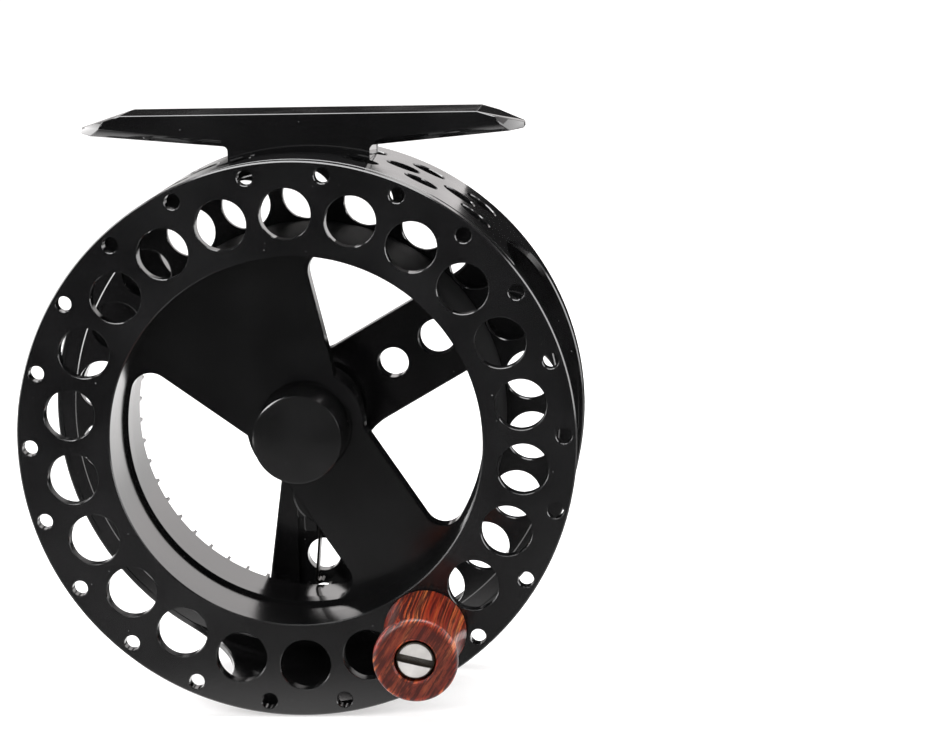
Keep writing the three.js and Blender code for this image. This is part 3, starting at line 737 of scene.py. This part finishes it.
def cage_mesh():
    """The perforated band, cut flat and then rolled up."""
    length = 2 * math.pi * CAGE_R
    holes = []
    places = [(i, y) for i in (1, 2, 3) for y in (ROW_Y[0], ROW_Y[2])]
    places += [(i, ROW_Y[1]) for i in (1.625, 2.625)]
    for i, y in places:
        holes.append(circle(PERFORATION_R, 64, (180 - i * PERFORATION_STEP) / 360 * length, y))
    return wrap(plate_mesh(cage_outline(), holes, 0, CAGE_T, 0.2, 0.16), length)


def spider_openings():
    up = {1: 30, -1: 150}
    valley = [Edge(up[1], ARM_HALF, 1), Edge(up[-1], ARM_HALF, -1)]
    openings = [opening(*valley, RING_INNER_R, SPIDER_FILLET, inner_corner(*valley, VALLEY_FILLET))]
    for side in (1, -1):
        arm = Edge(up[side], ARM_HALF, -side)
        leg = Edge(-90 + side * LEG_FLARE, LEG_OFFSET, side)
        a, b = (leg, arm) if side > 0 else (arm, leg)
        openings.append(opening(a, b, RING_INNER_R, SPIDER_FILLET, inner_corner(a, b, LOWER_FILLET)))
    return openings


def spider_mesh():
    holes = spider_openings()
    for angle, ring_r, r in ARM_HOLES:
        at = polar(ring_r, angle)
        holes.append(circle(r, PORT_STEPS, at.x, at.y))
    holes.append(circle(CLAMP_HOLE_R, SMALL_STEPS, 0, PIVOT_Z))
    return plate_mesh(circle(CAGE_R - 0.3, RIM_STEPS), holes, PLATE_FRONT, CAGE_BACK, 0.3, 0.2)


def make_frame():
    shell = union(spider_mesh(), cage_mesh())
    head = lathe_mesh([(0, CAGE_BACK - 1.8), (4.2, CAGE_BACK - 1.8), (4.2, CAGE_BACK - 0.2),
                       (5.4, CAGE_BACK + 1), (0, CAGE_BACK + 1)], PORT_STEPS, closed=False)
    tail = disc_mesh(2.55, PLATE_FRONT - 1, CAGE_BACK - 1, PORT_STEPS)
    pocket = box_mesh((-POCKET_HALF, PLATE_FRONT - 1, POCKET_Z[0]),
                      (POCKET_HALF, PLATE_FRONT + POCKET_DEPTH, POCKET_Z[1]))
    piece("cage_shell", subtract(shell, head, tail, pocket), "frame", "frame", "anodised_frame")


# ---- foot -----------------------------------------------------------------------------
def cut_by(bm, p, q, r, inside):
    """Cuts a solid by the plane through three points and keeps the side of the point inside."""
    normal = (q - p).cross(r - p).normalized()
    if normal.dot(inside - p) > 0:
        normal.negate()
    geometry = bm.verts[:] + bm.edges[:] + bm.faces[:]
    cut = bmesh.ops.bisect_plane(bm, geom=geometry, plane_co=p, plane_no=normal, clear_outer=True)
    rim = [edge for edge in cut["geom_cut"] if isinstance(edge, bmesh.types.BMEdge)]
    bmesh.ops.edgeloop_fill(bm, edges=rim)


def make_foot():
    """Two tapered wings with faceted tips, cut from a bar by planes, on a post."""
    middle = Vector((0, 0, (FOOT_TOP + FOOT_ROOT_BOTTOM) / 2))
    wings = box_mesh((-FOOT_HALF, -FOOT_SIDE, FOOT_ROOT_BOTTOM), (FOOT_HALF, FOOT_SIDE, FOOT_TOP))
    for sx in (-1, 1):
        def ramp(x, z):
            cut_by(wings, Vector((sx * x, -9, z)), Vector((sx * x, 9, z)),
                   Vector((sx * FOOT_HALF, 0, FOOT_TIP_TOP if z == FOOT_TOP else FOOT_TIP_BOTTOM)), middle)

        ramp(FOOT_FLAT, FOOT_TOP)
        ramp(POST_HALF, FOOT_ROOT_BOTTOM)
        for sy in (-1, 1):
            def at(x, y, z):
                return Vector((sx * x, sy * y, z))

            cut_by(wings, at(FOOT_HALF - FACET_LENGTH[0], FOOT_SIDE, FOOT_TOP),
                   at(FOOT_HALF - FACET_LENGTH[1], FOOT_SIDE, FOOT_TIP_TOP),
                   at(FOOT_HALF, FOOT_TIP_HALF, (FOOT_TIP_TOP + FOOT_TIP_BOTTOM) / 2), middle)
            cut_by(wings, at(POST_HALF, FOOT_SIDE, FOOT_ROOT_BOTTOM + FOOT_BEVEL[0]),
                   at(POST_HALF, FOOT_SIDE - FOOT_BEVEL[0], FOOT_ROOT_BOTTOM),
                   at(FOOT_HALF, FOOT_SIDE, FOOT_TIP_BOTTOM + FOOT_BEVEL[1]), middle)
    bmesh.ops.bevel(wings, geom=wings.edges[:], offset=0.1, segments=1, affect="EDGES", clamp_overlap=True)

    seat_r = CAGE_R + 0.05
    half_angle = math.degrees(math.asin(POST_HALF / seat_r))
    neck = FOOT_ROOT_BOTTOM + 0.3
    fillet = 0.9
    outline = arc(Vector((0, 0)), seat_r, 90 + half_angle, 90 - half_angle, 40)
    outline += arc(Vector((POST_HALF + fillet, neck - fillet)), fillet, 180, 90, 8)
    outline += [Vector((POST_HALF + fillet, neck + 1)), Vector((-POST_HALF - fillet, neck + 1))]
    outline += arc(Vector((-POST_HALF - fillet, neck - fillet)), fillet, 90, 0, 8)
    post = plate_mesh(outline[::-1], [], -FOOT_SIDE, FOOT_SIDE, 0.12, 0)
    piece("foot_shell", union(wings, post), "frame", "reel_foot", "anodised_foot")


# ---- turned pieces --------------------------------------------------------------------
def softened(profile, edge):
    """The closed profile with each corner cut back by edge."""
    corners = []
    for i, point in enumerate(profile):
        here = Vector(point)
        for other in (Vector(profile[i - 1]), Vector(profile[(i + 1) % len(profile)])):
            way = other - here
            corners.append(tuple(here + way.normalized() * min(edge, way.length * 0.4)))
    return corners


def ring_piece(name, node, body, bore_r, edge=0.12):
    low, high = box_mm(node)
    centre = ((low.x + high.x) / 2, 0, (low.z + high.z) / 2)
    r = (high.z - low.z) / 2
    profile = softened([(bore_r, low.y), (r, low.y), (r, high.y), (bore_r, high.y)], edge)
    bm = moved(lathe_mesh(profile, 96), Matrix.Translation(centre))
    return piece(name, bm, body, node, node_slots[node], centre)


def slotted_screw(name, node, body, direction, head_r, head_t, shank_r, slot_w, slot_turn):
    """A cheese-head screw with a slot; direction is where its head faces."""
    low, high = box_mm(node)
    middle = (low + high) / 2
    facing = Vector(direction)
    reach = max(abs(facing.dot(high - low)) / 2, head_t)
    face = middle + facing * reach
    length = reach * 2
    crown = 0.12
    edge = 0.22
    tip = 0.3
    profile = [(0, 0), (head_r * 0.6, crown * 0.3), (head_r - edge, crown), (head_r, crown + edge),
               (head_r, head_t), (shank_r, head_t), (shank_r, length - tip),
               (shank_r - tip, length), (0, length)]
    bm = lathe_mesh(profile, 72, closed=False)
    slot = box_mesh((-head_r * 2, -1, -slot_w / 2), (head_r * 2, head_t * 0.75, slot_w / 2))
    slot = moved(slot, Matrix.Rotation(math.radians(slot_turn), 4, "Y"))
    bm = subtract(bm, slot)
    turn = Vector((0, -1, 0)).rotation_difference(facing).to_matrix().to_4x4()
    bm = moved(bm, Matrix.Translation(face) @ turn)
    return piece(name, bm, body, node, node_slots[node], face)


def make_cap():
    """A plain drum with a shallow bright-cut edge and the spindle's bore behind."""
    front, back = cap_low.y, cap_high.y
    edge = 0.36
    bore = 2.12
    bore_end = -15
    profile = [(0, front), (CAP_R - edge, front), (CAP_R, front + edge / 2), (CAP_R, back - 0.15),
               (CAP_R - 0.15, back), (bore + 0.15, back), (bore, back - 0.15), (bore, bore_end),
               (0, bore_end)]
    piece("cap_shell", lathe_mesh(profile, 144, closed=False), "cap", "hub_cap", "anodised_cap")


def make_knob():
    base, face = knob_high.y, knob_low.y
    waist = KNOB_R - 0.65
    bore = 3.0
    shoulder = 1.15
    profile = [(bore, base)]
    near = Vector((KNOB_R - shoulder, base - shoulder))
    far = Vector((KNOB_R - shoulder, face + shoulder))
    profile += arc(near, shoulder, 90, 0, 6)
    length = near.y - far.y
    for i in range(1, 24):
        t = i / 12 - 1
        profile.append((waist + (KNOB_R - waist) * abs(t) ** 1.8, near.y - length * i / 24))
    profile += arc(far, shoulder, 0, -90, 6)
    profile += [(bore + 0.25, face), (bore, face + 0.25)]
    centre = (KNOB_X, 0, KNOB_Z)
    bm = moved(lathe_mesh(profile, 96), Matrix.Translation(centre))
    piece("knob_wood", bm, "handle", "handle_knob", "rosewood", centre)


def make_turned_pieces():
    ring_piece("bearing_front_inner_ring", "bearing_front_inner", "carriage", 3.08)
    ring_piece("bearing_rear_inner_ring", "bearing_rear_inner", "carriage", 3.08)
    ring_piece("bearing_front_outer_ring", "bearing_front_outer", "spool", 4.25)
    ring_piece("bearing_rear_outer_ring", "bearing_rear_outer", "spool", 4.25)
    ring_piece("spacer_sleeve", "bearing_spacer", "carriage", 3.1)
    ring_piece("cap_washer_ring", "cap_washer", "carriage", 2.2, 0.05)
    ring_piece("knob_bush", "handle_bush", "handle", 2.45)
    ring_piece("knob_post", "handle_post", "spool", 1.65)
    ring_piece("knob_washer", "handle_washer", "spool", 2.4, 0.08)
    slotted_screw("knob_screw", "handle_screw", "spool", (0, -1, 0), 2.65, 1.2, 1.5, 1.15, 13)
    slotted_screw("click_clamp_screw", "click_screw", "frame", (0, -1, 0), 2.65, 1.1, 1.25, 0.8, 75)
    slotted_screw("spindle_back_screw", "spindle_screw", "frame", (0, 1, 0), 4.0, 1.65, 0.85, 1.0, 35)
    for side in ("left", "right"):
        node = f"foot_screw_{side}"
        slotted_screw(f"{node}_head", node, "frame", (0, 0, -1), 2.3, 0.9, 1.1, 0.7, 20)


def make_spindle():
    front, back = spindle_low.y, spindle_high.y
    shoulder = PLATE_FRONT - 0.05
    bore, tail, collar, sleeve, journal, tip = 0.9, 2.5, 4.4, 3.8, 3.0, 2.0
    journal_y = (-6.65, 7.55)
    profile = softened([
        (bore, back), (tail, back), (tail, shoulder), (collar, shoulder), (collar, shoulder - 1.2),
        (sleeve, shoulder - 1.2), (sleeve, journal_y[1]), (journal, journal_y[1]), (journal, journal_y[0]),
        (tip, journal_y[0]), (tip, front), (bore, front),
    ], 0.12)
    piece("spindle_shaft", lathe_mesh(profile, 96), "frame", "spindle", "spindle_steel")


# ---- click ----------------------------------------------------------------------------
def make_click():
    low, high = box_mm("click_block")
    front, back = low.y, high.y
    disc = plate_mesh(circle(CLAMP_DISC_R, 72, *CLAMP_DISC_AT), [], front, PLATE_FRONT - 0.05, 0.35, 0)
    stem = rounded_rectangle(-STEM_HALF, STEM_HALF, PIVOT_Z - STEM_LENGTH, PIVOT_Z, 0.8)
    stem = plate_mesh(stem, [], front + 0.2, back, 0.2, 0)
    key = rounded_rectangle(-KEY_HALF, KEY_HALF, PIVOT_Z - 4, PIVOT_Z + 5, 0.6)
    key = plate_mesh(key, [], PLATE_FRONT - 1, back, 0.1, 0)
    hub_gap = disc_mesh(HUB_R + 0.6, front - 1, back + 1, 96)
    slit = box_mesh((-SLIT_HALF, front - 1, PIVOT_Z - STEM_LENGTH - 1),
                    (SLIT_HALF, back + 1, PIVOT_Z - SLIT_TOP))
    hole = moved(disc_mesh(CLAMP_HOLE_R, front - 1, back + 1, 32), Matrix.Translation((0, 0, PIVOT_Z)))
    bm = subtract(union(disc, stem, key), hub_gap, slit, hole)
    piece("click_clamp", bm, "frame", "click_block", "anodised_frame")

    # the leaf hangs straight and ends in a small curl that rides on the teeth
    spring_low, spring_high = box_mm("click_spring")
    curl = 0.5
    foot = Vector((spring_low.x + 0.1, spring_low.z + curl + 0.1))
    path = [Vector((0, spring_high.z)), Vector((0, spring_high.z - 1.6)), foot]
    path += arc(foot + Vector((curl, 0)), curl, 180, 330, 16)[1:]
    left, right = [], []
    for i, point in enumerate(path):
        ahead = path[min(i + 1, len(path) - 1)] - path[max(i - 1, 0)]
        side = Vector((-ahead.y, ahead.x)).normalized() * LEAF_T / 2
        left.append(point + side)
        right.append(point - side)
    strip = plate_mesh(right + left[::-1], [], spring_low.y, spring_high.y, 0.03, 0)
    piece("click_leaf", strip, "click", "click_spring", "spring_steel")


# ---- studio ---------------------------------------------------------------------------
def make_floor():
    """White paper.

    The camera sees it almost evenly lit.  Reflections see it bright behind the reel and at its
    left, and dark in front, where the room is dark.
    """
    s = Shader("floor_paper")
    split = s.add("ShaderNodeSeparateXYZ")
    s.put(split.inputs[0], s.place)
    reach = s.add("ShaderNodeVectorMath", operation="LENGTH")
    s.put(reach.inputs[0], s.place)
    rays = s.add("ShaderNodeLightPath").outputs
    apron = s.between(split.outputs[1], 0.04, 0.24, -0.26, -0.05)
    behind = s.between(split.outputs[1], 0.0, 1.0, -0.05, 0.0)
    bright = s.between(reach.outputs["Value"], FLOOR_NEAR, FLOOR_FAR, 0.1, 0.4)
    beside = s.between(s.math("ABSOLUTE", s.math("ADD", split.outputs[1], 0.09)), 1.0, 0.0, 0.05, 0.12)
    left = s.math("MULTIPLY", beside, s.between(split.outputs[0], 0.0, FLOOR_LEFT, -0.12, -0.18))
    mirrored = s.math("ADD", s.math("ADD", apron, left), s.math("MULTIPLY", behind, bright))
    seen = s.math("MULTIPLY", rays["Is Camera Ray"], s.between(reach.outputs["Value"], 0.5, 0.8))
    glow = s.math("ADD", seen, s.math("MULTIPLY", rays["Is Glossy Ray"], mirrored))
    paper = s.mix(s.noise(9, 3), (0.85, 0.85, 0.855, 1), (0.88, 0.88, 0.88, 1))
    black = s.math("ADD", rays["Is Glossy Ray"], s.math("MULTIPLY", rays["Is Camera Ray"], 0.4))
    s.set(
        Base_Color=s.mix(black, paper, (0, 0, 0, 1)),
        Roughness=0.95,
        Specular_IOR_Level=0.0,
        Emission_Color=(1, 0.985, 0.98, 1),
        Emission_Strength=glow,
        Normal=s.bump(s.noise(900, 2), 0.02, 0.2),
    )
    bm = bmesh.new()
    size = 6
    corners = [(-size, -size), (size, -size), (size, size), (-size, size)]
    bm.faces.new([bm.verts.new((x, y, 0)) for x, y in corners])
    mesh = bpy.data.meshes.new("floor")
    bm.to_mesh(mesh)
    bm.free()
    mesh.materials.append(s.material)
    floor = bpy.data.objects.new("floor", mesh)
    floor.location.z = (AXIS.z - RIM_R) * MM - 0.0002
    bpy.context.scene.collection.objects.link(floor)


def area_light(name, place, width, height, watts, mirrored=True):
    """A softbox that faces the reel; one that isn't mirrored lights it without being reflected."""
    light = bpy.data.lights.new(name, "AREA")
    light.shape = "RECTANGLE"
    light.size, light.size_y = width, height
    light.energy = watts
    middle = AXIS * MM
    thing = bpy.data.objects.new(name, light)
    thing.location = Vector(place) + middle
    thing.rotation_euler = (-Vector(place)).to_track_quat("-Z", "Y").to_euler()
    thing.visible_camera = False
    thing.visible_glossy = mirrored
    bpy.context.scene.collection.objects.link(thing)


def make_world():
    """White to the eye.  Reflections see a bright panel behind and above, and a dark room in front."""
    world = bpy.data.worlds.new("studio")
    bpy.context.scene.world = world
    world.use_nodes = True
    nodes, links = world.node_tree.nodes, world.node_tree.links
    place = nodes.new("ShaderNodeTexCoord")
    split = nodes.new("ShaderNodeSeparateXYZ")
    links.new(place.outputs["Generated"], split.inputs[0])

    def fade(value, start, end, low, high):
        node = nodes.new("ShaderNodeMapRange")
        node.interpolation_type = "SMOOTHSTEP"
        links.new(value, node.inputs["Value"])
        for key, number in zip(("From Min", "From Max", "To Min", "To Max"), (start, end, low, high)):
            node.inputs[key].default_value = number
        return node.outputs[0]

    def calculate(operation, a, b):
        node = nodes.new("ShaderNodeMath")
        node.operation = operation
        for socket, value in zip(node.inputs, (a, b)):
            if isinstance(value, bpy.types.NodeSocket):
                links.new(value, socket)
            else:
                socket.default_value = value
        return node.outputs[0]

    behind = fade(split.outputs["Y"], -0.25, 0.35, 0.03, 1.0)
    above = fade(split.outputs["Z"], 0.090, 0.125, 0.02, WORLD_LIGHT)
    right = fade(split.outputs["X"], 0.01, 0.06, 0.02, WORLD_LIGHT)
    room = calculate("MULTIPLY", behind, calculate("MAXIMUM", above, right))
    eye = nodes.new("ShaderNodeLightPath").outputs["Is Camera Ray"]
    links.new(calculate("MAXIMUM", room, eye), nodes["Background"].inputs["Strength"])
    tint = nodes.new("ShaderNodeMix")
    tint.data_type = "RGBA"
    links.new(eye, tint.inputs[0])
    tint.inputs[6].default_value = (1, 0.965, 0.96, 1)
    tint.inputs[7].default_value = (1, 1, 1, 1)
    links.new(tint.outputs[2], nodes["Background"].inputs["Color"])


def make_flag():
    """A round black card behind the reel's right side, seen only in reflections."""
    s = Shader("flag_card")
    s.set(
        Base_Color=s.mix(s.noise(40, 2), (0.003, 0.003, 0.003, 1), (0.006, 0.006, 0.006, 1)),
        Roughness=1.0,
        Specular_IOR_Level=0.0,
    )
    mesh = bpy.data.meshes.new("flag")
    bm = bmesh.new()
    bm.faces.new([bm.verts.new((p.x * MM, 0, p.y * MM)) for p in circle(CAGE_R, PORT_STEPS)])
    bm.to_mesh(mesh)
    bm.free()
    mesh.materials.append(s.material)
    flag = bpy.data.objects.new("flag", mesh)
    flag.location = Vector((0.0515, 0.045, 0.005)) + AXIS * MM
    flag.visible_camera = False
    flag.visible_diffuse = False
    flag.visible_shadow = False
    bpy.context.scene.collection.objects.link(flag)


def make_camera():
    """A long lens a little to the right of the reel and above it."""
    camera = bpy.data.cameras.new("camera")
    camera.lens = 121.116
    camera.sensor_width = 36
    camera.clip_start = 0.01
    place = Vector((0.058404, -0.467065, 0.084324)) + AXIS * MM
    forward = Vector((-0.073198, 0.983695, -0.164277)).normalized()
    up = Vector((0.008037, 0.165295, 0.986211))
    right = forward.cross(up).normalized()
    up = right.cross(forward)
    turn = Matrix((right, up, -forward)).transposed()
    thing = bpy.data.objects.new("camera", camera)
    thing.matrix_world = Matrix.Translation(place) @ turn.to_4x4()
    bpy.context.scene.collection.objects.link(thing)
    bpy.context.scene.camera = thing


def make_studio():
    make_floor()
    make_world()
    make_flag()
    area_light("top_box", (0.0, 0.10, 0.60), 0.7, 0.5, 9)
    area_light("left_box", (-0.50, 0.29, 0.13), 0.5, 0.34, 1.3)
    area_light("right_box", (0.50, 0.29, 0.20), 0.4, 0.34, 1.0)
    area_light("left_edge_box", (-0.50, 0.02, 0.23), 0.16, 0.50, 1.6)
    area_light("right_edge_box", (0.52, -0.08, 0.15), 0.14, 0.40, 1.0)
    area_light("left_front_box", (-0.42, -0.42, 0.34), 0.3, 0.3, 3.4)
    area_light("right_front_box", (0.48, -0.40, 0.20), 0.3, 0.3, 0.5)
    area_light("front_fill", (-0.10, -0.60, 0.25), 0.3, 0.3, 1.0, mirrored=False)
    scene = bpy.context.scene
    scene.view_settings.view_transform = "Standard"
    scene.view_settings.look = "None"


make_spool()
make_frame()
make_foot()
make_cap()
make_knob()
make_spindle()
make_turned_pieces()
make_click()
make_studio()
make_camera()
